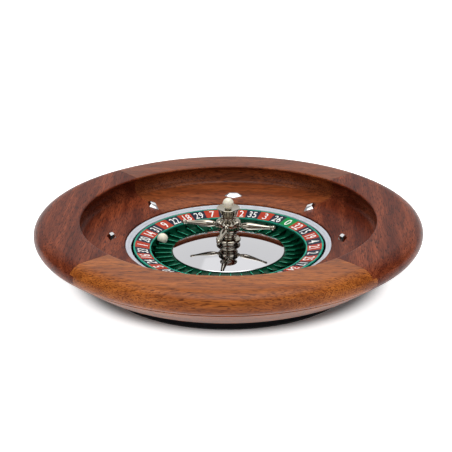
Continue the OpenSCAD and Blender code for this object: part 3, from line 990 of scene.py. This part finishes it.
    def diamonds(self) -> None:
        """Makes the eight flat-topped diamonds, in turn along and across the track."""
        length, width, height = self.deflector_size
        for index, (outwards, round_by) in enumerate(self.deflectors):
            half = (width / 2, length / 2) if index % 2 == 0 else (length / 2, width / 2)
            tips = [(half[0], 0), (0, half[1]), (-half[0], 0), (0, -half[1])]
            rows = ((-0.4, 1), (0.1, 1), (height, self.deflector_top))
            points = [(x * size, y * size, z) for z, size in rows for x, y in tips]
            piece = mesh_piece(f"diamond_{index + 1}", [tuple(c * MM for c in p) for p in points],
                               [*banded(4, 2), (3, 2, 1, 0), (8, 9, 10, 11)])
            radius = self.deflector_r + outwards
            base_z = self.apron[1][1] + (radius - self.apron[1][0]) * math.tan(self.apron_slope) + 0.12
            piece.data.transform(Matrix.Rotation(math.radians(index * 45 + round_by), 4, "Z")
                                 @ Matrix.Translation((radius * MM, 0, base_z * MM))
                                 @ Matrix.Rotation(-self.apron_slope, 4, "Y"))
            tidied(bevelled(piece, 0.16), 25)
            piece.data.materials.append(MIRROR_DEFLECTOR.material())
            hand_over(piece, Body.BOWL, "polished_chrome", f"deflector_{index + 1}")

    def build(self) -> None:
        """Builds every piece of the bowl."""
        self.segments()
        self.ring()
        self.plinth()
        self.diamonds()
        PAD_RUBBER.dress("base_pad")
        for node in ("bowl_screws", "flange_screws", "spindle_nut"):
            ZINC_PLATE.dress(node)
        for node in ("spindle_flange", "spindle", "race_spacer", "spindle_washer"):
            GROUND_STEEL.dress(node)


# The wheelhead


@dataclass
class Wheelhead:
    """The part that spins: numbered cells, hoops, pockets with their separators, and the mirrored cone."""

    zero_angle: float = 46.4
    numbers: tuple[int, ...] = (0, 32, 15, 19, 4, 21, 2, 25, 17, 34, 6, 27, 13, 36, 11, 30, 8, 23, 10, 5, 24,
                                16, 33, 1, 20, 14, 31, 9, 22, 18, 29, 7, 28, 12, 35, 3, 26)
    rotor_r: float = 123.7
    field_in: Point = (102.8, 36.5)
    field_out_r: float = 121.6
    field_rise: float = 0.22
    field_t: float = 0.4
    plate_t: float = 2
    hoop_in_r: float = 101
    hoop_t: float = 1.6
    hoop_gap: float = 0.02
    pocket_outer_r: float = 102.3
    pocket_in: Point = (73, 30.5)
    pocket_z: float = 27.2
    pocket_rises: Profile = ((77, 1.2), (80, 0.6), (86, 0), (94, 0), (97, 0.5), (99.2, 2.2))
    disc_top_z: float = 26
    fret_t: float = 0.9
    fret_top_z: float = 32.2
    fret_top: tuple[Triple, ...] = ((99.9, 0.2, 0.5), (99, 0.5, 0), (75, 0, 0.6))
    cone_r: float = 73.3
    cone_top_z: float = 42.4
    cone_curve_r: float = 262
    cone_bore_r: float = 12.6
    cone_t: float = 1.4
    cone_roll: Point = (1.2, 0.94)
    cell_gap: float = 0.02
    numeral_h: float = 14.2
    numeral_lift: float = 0.06
    numeral_squeeze: tuple[float, float] = (0.76, 0.66)

    @property
    def cell(self) -> float:
        """Angle of one cell."""
        return 360 / len(self.numbers)

    def field_z(self, radius: float) -> float:
        """Returns the number ring's height at a radius."""
        return self.field_in[1] + self.field_rise * (radius - self.field_in[0])

    def cone_z(self, radius: float) -> float:
        """Returns the cone's height at a radius."""
        return self.cone_top_z - radius ** 2 / (2 * self.cone_curve_r)

    def cells(self) -> None:
        """Makes the enamelled cells: one green, and red and black in turn."""
        inner, outer = self.field_in[0], self.field_out_r
        width = self.cell - self.cell_gap
        top = [(r, self.field_z(r)) for r in (inner, (inner + outer) / 2, outer)]
        outline = [*[(r, z - self.field_t) for r, z in top], *reversed(top)]
        for word, finish, slot, first, step, count in (
                ("red", RED_ENAMEL, "red_enamel", 1, 2, 18),
                ("black", BLACK_ENAMEL, "black_enamel", 2, 2, 18),
                ("zero", ZERO_ENAMEL, "green_enamel", 0, 1, 1)):
            piece = turned(f"cells_{word}", outline, finish, -width / 2, width, steps=8)
            ringed(piece, finish, count, self.zero_angle - first * self.cell, -step * self.cell)
            hand_over(piece, Body.ROTOR, slot, f"{word}_field{'s' if count > 1 else ''}")
        WHITE_ENAMEL.dress("number_ring")

    def numerals(self) -> None:
        """Makes the plain white numerals, one number in each cell, with their tops outwards."""
        whole = bmesh.new()
        middle_r = (self.field_in[0] + self.field_out_r) / 2 - 0.2
        middle = Matrix.Translation((middle_r * MM, 0, (self.field_z(middle_r) + self.numeral_lift) * MM))
        upright = Matrix.Rotation(math.radians(-90), 4, "Z")
        leaning = Matrix.Rotation(-math.atan(self.field_rise), 4, "Y") @ upright
        for k, number in enumerate(self.numbers):
            text = bpy.data.curves.new(f"numeral_{number}", "FONT")
            text.body, text.align_x = str(number), "CENTER"
            text.extrude, text.offset, text.resolution_u = 0.008, 0.003, 4
            carrier = bpy.data.objects.new(f"numeral_{number}", text)
            bpy.context.scene.collection.objects.link(carrier)
            graph = bpy.context.evaluated_depsgraph_get()
            mesh = bpy.data.meshes.new_from_object(carrier.evaluated_get(graph))
            low, high = (end(v.co.y for v in mesh.vertices) for end in (min, max))
            size = self.numeral_h * MM / (high - low)
            angle = math.radians(self.zero_angle - k * self.cell)
            place = (Matrix.Rotation(angle, 4, "Z") @ middle @ leaning
                     @ Matrix.Diagonal((size * self.numeral_squeeze[number > 9], size, size, 1))
                     @ Matrix.Translation((0, -(low + high) / 2, 0)))
            mesh.transform(place)
            whole.from_mesh(mesh)
            bpy.data.objects.remove(carrier)
            bpy.data.meshes.remove(mesh)
        bmesh.ops.remove_doubles(whole, verts=whole.verts, dist=1e-6)
        piece = mesh_piece("numerals", [], [])
        whole.to_mesh(piece.data)
        whole.free()
        piece.data.materials.clear()
        piece.data.materials.append(WHITE_ENAMEL.material())
        hand_over(piece, Body.ROTOR, "number_plate")

    def hoops(self) -> None:
        """Makes the two turquoise hoops that border the numbers."""
        outer_z, inner_z, gap = self.field_z(self.field_out_r), self.field_in[1], self.hoop_gap
        hoops = (
            ("outer", self.field_out_r + gap, self.rotor_r, outer_z, self.plate_t, (0.7, 0.5), (0.55, 0.25)),
            ("inner", self.hoop_in_r, self.field_in[0] - gap, inner_z, self.hoop_t, (0.4, 0.25), (0.5, 0.5)))
        for word, low_r, high_r, z, depth, (high_rise, high_round), (low_rise, low_round) in hoops:
            outline = rounded([(low_r, z - depth, 0.1), (high_r, z - depth, 0.1),
                               (high_r, z + high_rise, high_round), (low_r, z + low_rise, low_round)])
            piece = turned(f"turquoise_hoop_{word}", outline, HOOP_ENAMEL, steps=192)
            hand_over(piece, Body.ROTOR, "turquoise_enamel", f"{word}_hoop")

    def pocket_floor(self) -> list[Point]:
        """Returns the pocket's floor from the cone to the outer wall."""
        return [(74.4, self.pocket_in[1]), *((r, self.pocket_z + rise) for r, rise in self.pocket_rises)]

    def pockets(self) -> None:
        """Makes the trough of the pockets and its separators."""
        floor = flowing(self.pocket_floor(), 3)
        outer, wall_top = self.pocket_outer_r, self.field_in[1] - self.hoop_t - 0.05
        outline = [(self.pocket_in[0], self.disc_top_z), (outer, self.disc_top_z), (outer, wall_top),
                   (self.hoop_in_r + 0.1, wall_top), *reversed(floor), self.pocket_in]
        trough = turned("pocket_trough", outline, POCKET_PAINT, steps=185)
        hand_over(trough, Body.ROTOR, "pocket_green", "pocket_ring")
        top = rounded([(r, self.fret_top_z + rise, rounding) for r, rise, rounding in self.fret_top])
        side = [*[(r, z + 0.02) for r, z in floor], *top]
        half = self.fret_t / 2
        vertices = [(r * MM, y * MM, z * MM) for y in (-half, half) for r, z in side]
        count = len(side)
        faces = [tuple(range(count)), tuple(range(2 * count - 1, count - 1, -1))]
        faces += [(i, i + count, (i + 1) % count + count, (i + 1) % count) for i in range(count)]
        fret = mesh_piece("pocket_separators", vertices, faces)
        tidied(bevelled(fret, 0.2, 60))
        ringed(fret, FRET_PAINT, len(self.numbers), self.zero_angle + self.cell / 2, self.cell)
        hand_over(fret, Body.ROTOR, "fret_green", "pocket_frets")

    def cone(self) -> None:
        """Makes the domed mirror in the middle, with its rolled edge."""
        edge = self.cone_r - 1.1
        radii = [self.cone_bore_r + (edge - self.cone_bore_r) * i / 40 for i in range(41)]
        rim_z = self.cone_z(edge)
        roll = arc((edge - 0.1, rim_z - 0.95), self.cone_roll, 80, -60, 8)
        under = [(r, self.cone_z(r) - self.cone_t) for r in radii[::4]]
        outline = [*[(r, self.cone_z(r)) for r in radii], *roll, *reversed(under)]
        piece = turned("mirror_cone", outline, MIRROR_CONE, steps=256)
        hand_over(piece, Body.ROTOR, "polished_chrome", "cone")

    def build(self) -> None:
        """Builds every piece of the wheelhead."""
        self.cells()
        self.numerals()
        self.hoops()
        self.pockets()
        self.cone()
        BLACK_ANODISED.dress("rotor_disc")
        HUB_ALUMINIUM.dress("hub")
        ZINC_PLATE.dress("hub_screws")


@dataclass
class Bearings:
    """The two ball bearings on the spindle."""

    places: tuple[str, ...] = ("lower", "upper")

    def build(self) -> None:
        """Dresses the races, balls and cages."""
        for place in self.places:
            for part in ("inner_race", "outer_race", "bearing_balls"):
                BEARING_STEEL.dress(f"{place}_{part}")
            CAGE_BRASS.dress(f"{place}_bearing_cage")


# The turret


@dataclass
class Turret:
    """The turned turret: foot, column, arm hub with four arms, fluted bell and cup."""

    arm_angle: float = -8.9
    arm_tip_r: float = 62
    arm_z: float = 66.6
    stud_r: float = 3.05
    foot_z: float = 42.2
    column_z: float = 50.6
    hub_z: float = 58.2
    bell_z: float = 71.2
    cup_z: float = 76.8
    seat_z: float = 89.65
    hub_r: float = 13.9
    flutes: int = 18
    flute_depth: float = 1.3
    foot_rises: Profile = ((14.2, 1.4), (15.6, 2.4), (16.2, 4), (15.6, 5.6), (13.4, 6.7), (10.8, 7.4))
    hollow: Profile = ((8.8, 48.7), (8.8, 45.3), (12.5, 45.3))
    column_rises: Profile = ((8.2, 1), (7.6, 2.6), (8.4, 4.1), (11, 4.8), (11.8, 5.8), (11.2, 7))
    arm_profile: Profile = ((4.4, 15.1), (3.8, 16.2), (2.7, 17.2), (2.8, 18.2), (3.5, 20.5), (4.3, 24),
                            (4.6, 27.5), (4.4, 31.5), (3.7, 37.5), (2.9, 44), (2.3, 50))
    bell_rises: Profile = ((12, 0), (15.3, 0.25), (15.4, 0.9), (14.2, 1.8), (11.8, 2.8), (9.6, 3.9),
                           (8.4, 4.9))
    cup_profile: Profile = ((7.5, 78), (8, 79.6), (8.9, 81.2), (10, 82.8), (11.2, 84.6), (12.4, 86.4),
                            (13.6, 88.3), (14.9, 90))
    cup_lip: Profile = ((14.95, 90.3), (14.7, 90.5))
    cup_inside: Profile = ((14.2, 90.5), (11.5, 89.2), (8, 88.5), (5.2, 88.5))
    cup_bore_z: float = 84.6
    seat_rises: Profile = ((4.2, -0.2), (3.5, 0), (2.8, -1), (0, -1.6))

    def lathe(self, name: str, outside: Sequence[Point], node: str, bore: Sequence[Point] = (),
              steps: int = 96, **flutes: object) -> None:
        """Turns one stacked piece, with a bore for the stud.

        Args:
            name: The piece's name.
            outside: Its outside from bottom to top.
            node: The CAD node that it stands for.
            bore: The bore from top to bottom, or nothing for a straight one.
            steps: Stretches round the piece.
            **flutes: What turned() is told of flutes.
        """
        straight = [(self.stud_r, outside[-1][1]), (self.stud_r, outside[0][1])]
        piece = turned(name, [*outside, *(bore or straight)], MIRROR_TURRET, steps=steps, **flutes)
        hand_over(piece, Body.ROTOR, "turret_chrome", node)

    def stack(self) -> None:
        """Makes the foot, the column and the hub of the arms."""
        foot = flowing([(13.8, self.foot_z), *((r, self.foot_z + rise) for r, rise in self.foot_rises),
                        (9.8, self.column_z)])
        hollow = [(self.stud_r, self.column_z), (self.stud_r, 49), *self.hollow, (12.5, self.foot_z)]
        self.lathe("turret_base", foot, "turret_foot", hollow)
        column = flowing([(9.4, self.column_z), *((r, self.column_z + rise) for r, rise in self.column_rises),
                          (10, self.hub_z)])
        self.lathe("turret_baluster", column, "turret_column")
        low, top = self.hub_z, self.bell_z
        self.lathe("arm_boss", [
            (12.2, low), *flowing([(12.6, low + 0.1), (13.4, low + 0.8), (13.9, low + 2)]),
            *flowing([(13.9, top - 1.8), (13.4, top - 0.7), (12.6, top)]), (12.2, top)], "arm_hub")

    def arms(self) -> None:
        """Makes the four turned arms: collar, neck, long swelling, ring and knob."""
        tip = self.arm_tip_r
        shape = flowing([(3.8, self.hub_r - 0.2), *self.arm_profile, (2, tip - 7.4)], 4)
        bead = arc((2.0, tip - 6.5), (0.75, 0.55), -80, 80, 6)
        knob = arc((0, tip - 2.9), (2.9, 2.9), -48, 90, 12)
        outline = [(0, self.hub_r - 3), (2, self.hub_r - 3), (2, self.hub_r - 0.2), *shape, *bead, *knob]
        lie = Matrix.Rotation(math.radians(90), 4, "Y")
        for index in range(4):
            arm = turned(f"arm_{index + 1}", outline, MIRROR_TURRET, steps=40)
            arm.data.transform(Matrix.Rotation(math.radians(self.arm_angle + index * 90), 4, "Z")
                               @ Matrix.Translation((0, 0, self.arm_z * MM)) @ lie)
            hand_over(arm, Body.ROTOR, "turret_chrome", f"turret_arm_{index + 1}")

    def bell(self) -> None:
        """Makes the fluted bell under the cup."""
        outside = flowing([*((r, self.bell_z + rise) for r, rise in self.bell_rises), (8, self.cup_z)], 6)
        low, high = self.bell_z + 0.7, self.cup_z - 0.3
        fluted = [max(0.0, min(1.0, (z - low) / 0.9, (high - z) / 1.2)) for _, z in outside]
        self.lathe("fluted_bell", outside, "turret_bell", steps=self.flutes * 12, flutes=self.flutes * 2,
                   flute_depth=self.flute_depth, fluted=[*fluted, 0.0, 0.0])

    def cup(self) -> None:
        """Makes the flared cup and the small seat that carries the spare ball."""
        outside = flowing([(7.6, self.cup_z), *self.cup_profile])
        inside = flowing([*self.cup_inside, *((r, self.seat_z + rise) for r, rise in self.seat_rises)])
        bore = [(0, self.cup_bore_z), (self.stud_r, self.cup_bore_z), (self.stud_r, self.cup_z)]
        self.lathe("turret_crown", outside, "turret_cup", [*self.cup_lip, *inside, *bore], 128)

    def build(self) -> None:
        """Builds every piece of the turret."""
        self.stack()
        self.arms()
        self.bell()
        self.cup()
        ZINC_PLATE.dress("turret_stud")


@dataclass
class Balls:
    """The ball in its pocket and the spare one on the turret."""

    diameter: float = 14.3

    def build(self) -> None:
        """Makes a smooth ball in the place of each CAD ball."""
        for node, body in (("ball", Body.BALL), ("spare_ball", Body.SPARE_BALL)):
            low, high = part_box(node)
            centre = (low + high) / 2
            outline = arc((0, 0), (self.diameter / 2, self.diameter / 2), -90, 90, 32)
            ball = turned(f"ivory_{node}", outline, IVORY, steps=64)
            ball.data.transform(Matrix.Translation(centre))
            hand_over(ball, body, "ivory_resin", node)


# Studio


@dataclass
class Studio:
    """Floor, lit room and camera.

    The camera's sizes are in metres, degrees and pixels of the photograph. Each pair whose name ends in from is
    where a light starts and where it is full, as the share of a direction that points up, back or sideways.
    """

    picture: int = 452
    camera_distance: float = 1.546936
    camera_elevation: float = 21.39
    camera_turn: float = 3.2
    camera_roll: float = -0.407
    focal_pixels: float = 1197
    aim_pixel: Point = (228.25, 214.9)
    aim_z: float = 0.0802
    sensor: float = 36
    floor_size: float = 8
    floor_white: float = 0.93
    table_glow: float = 0.9
    table_glow_from: Point = (0.163, 0.194)
    table_oval: Triple = (0.9, 1, 1)
    ceiling: float = 5.2
    ceiling_from: Point = (0.88, 0.96)
    wall: float = 0.68
    mirrored_wall: float = 0.85
    wall_from: Point = (0.64, 0.74)
    fill: float = 0.3
    fill_from: Point = (-0.2, -0.5)
    boxes: float = 1.3
    boxes_back_from: tuple[Point, Point] = ((-0.94, -0.9), (-0.46, -0.52))
    boxes_up_from: tuple[Point, Point] = ((0.17, 0.22), (0.66, 0.58))
    panel: float = 0.2
    panel_across_from: Point = (0.3, 0.26)
    panel_along_from: tuple[Point, Point] = ((1.2, 1.1), (0.0, 0.3))
    panel_up_from: Point = (0.1, 0.2)
    gloom: float = 0.02

    def camera(self) -> None:
        """Places the camera that the photograph was fitted with."""
        turn, rise, roll = map(math.radians, (self.camera_turn, self.camera_elevation, self.camera_roll))
        back = Vector((math.cos(rise) * math.sin(turn), -math.cos(rise) * math.cos(turn), math.sin(rise)))
        right = Vector((math.cos(turn), math.sin(turn), 0))
        up = back.cross(right)
        rolled_right = right * math.cos(roll) + up * math.sin(roll)
        rolled_up = up * math.cos(roll) - right * math.sin(roll)
        data = bpy.data.cameras.new("camera")
        data.sensor_width = self.sensor
        data.lens = self.focal_pixels / self.picture * self.sensor
        data.shift_x, data.shift_y = (
            side * (pixel - self.picture / 2) / self.picture for side, pixel in zip((-1, 1), self.aim_pixel))
        data.clip_start, data.clip_end = 0.05, 60
        camera = bpy.data.objects.new("camera", data)
        place = Matrix.Translation(back * self.camera_distance + Vector((0, 0, self.aim_z)))
        camera.matrix_world = place @ Matrix((rolled_right, rolled_up, back)).transposed().to_4x4()
        bpy.context.scene.collection.objects.link(camera)
        bpy.context.scene.camera = camera

    def floor(self) -> None:
        """Lays the white light table, which glows to the eye outside the oval that holds the shadow."""
        size, white = self.floor_size, self.floor_white
        floor = mesh_piece("floor", [(-size, -size, 0), (size, -size, 0), (size, size, 0), (-size, size, 0)],
                           [(0, 1, 2, 3)])
        paper = bpy.data.materials.new("white_paper_floor")
        paper.use_nodes = True
        tree = paper.node_tree
        tree.nodes.clear()
        lit = add_node(tree, "ShaderNodeBsdfDiffuse", {"Color": (white, white, white, 1)}).outputs[0]
        place = add_node(tree, "ShaderNodeTexCoord").outputs["Object"]
        oval = add_node(tree, "ShaderNodeVectorMath", {0: place, 1: self.table_oval}, operation="MULTIPLY")
        distance = add_node(tree, "ShaderNodeVectorMath", {0: oval.outputs[0]}, operation="LENGTH")
        glow = graded(tree, distance.outputs["Value"], *self.table_glow_from, 0.0, self.table_glow)
        shine = add_node(tree, "ShaderNodeEmission", {"Strength": glow}).outputs[0]
        table = add_node(tree, "ShaderNodeAddShader", {0: lit, 1: shine}).outputs[0]
        rays = add_node(tree, "ShaderNodeLightPath").outputs
        seen = sums(tree)("MAXIMUM", rays["Is Camera Ray"], rays["Is Glossy Ray"])
        surface = add_node(tree, "ShaderNodeMixShader", {0: seen, 1: lit, 2: table}).outputs[0]
        add_node(tree, "ShaderNodeOutputMaterial", {"Surface": surface})
        floor.data.materials.append(paper)

    def world(self) -> None:
        """Lights the room by direction: a pale wall behind, black gaps beside it, boxes in front, light above.

        The eye sees plain white in every direction.
        """
        world = bpy.data.worlds.new("studio")
        world.use_nodes = True
        tree = world.node_tree
        tree.nodes.clear()
        calc = sums(tree)

        def lamp(strength: float, *edges: tuple[Socket, Point]) -> Socket:
            """A light of a strength, faded at each of its edges."""
            shares = (graded(tree, direction, *edge) for direction, edge in edges)
            return reduce(lambda light, share: calc("MULTIPLY", light, share), shares, strength)

        way = add_node(tree, "ShaderNodeTexCoord").outputs["Generated"]
        x, y, z = add_node(tree, "ShaderNodeSeparateXYZ", {0: way}).outputs
        flat = calc("SQRT", calc("MAXIMUM", calc("SUBTRACT", 1.0, calc("MULTIPLY", z, z)), 0.0001))
        backwards = calc("DIVIDE", y, flat)
        height = calc("MAXIMUM", z, 0.001)
        across = calc("DIVIDE", calc("ABSOLUTE", x), height)
        along = calc("DIVIDE", y, height)
        rays = add_node(tree, "ShaderNodeLightPath").outputs
        pale = calc("MULTIPLY_ADD", rays["Is Glossy Ray"], self.mirrored_wall - self.wall, self.wall)
        ceiling = graded(tree, z, *self.ceiling_from)
        low_lights = (
            lamp(pale, (backwards, self.wall_from)), lamp(self.fill, (backwards, self.fill_from)),
            lamp(self.boxes, *((backwards, edge) for edge in self.boxes_back_from),
                 *((z, edge) for edge in self.boxes_up_from)),
            lamp(self.panel, (across, self.panel_across_from), (z, self.panel_up_from),
                 *((along, edge) for edge in self.panel_along_from)))
        lit = reduce(lambda light, more: calc("ADD", light, more), low_lights)
        low = calc("MULTIPLY", lit, calc("SUBTRACT", 1.0, ceiling))
        glow = calc("ADD", calc("MULTIPLY_ADD", ceiling, self.ceiling, low), self.gloom)
        room, white = (
            add_node(tree, "ShaderNodeBackground", {"Color": (1, 1, 1, 1), "Strength": strength}).outputs[0]
            for strength in (glow, 1.0))
        mixed = add_node(tree, "ShaderNodeMixShader", {0: rays["Is Camera Ray"], 1: room, 2: white})
        add_node(tree, "ShaderNodeOutputWorld", {"Surface": mixed.outputs[0]})
        bpy.context.scene.world = world

    def build(self) -> None:
        """Builds the camera, the floor and the room, with plain colours."""
        self.camera()
        self.floor()
        self.world()
        bpy.context.scene.view_settings.view_transform = "Standard"


def main() -> None:
    """Builds the studio and the wheel, in order."""
    logging.basicConfig(level=logging.INFO, format="%(name)s: %(message)s")
    for part in (Studio(), Bowl(), Wheelhead(), Bearings(), Turret(), Balls()):
        LOG.info("building %s", type(part).__name__)
        part.build()


if __name__ == "__main__":
    main()
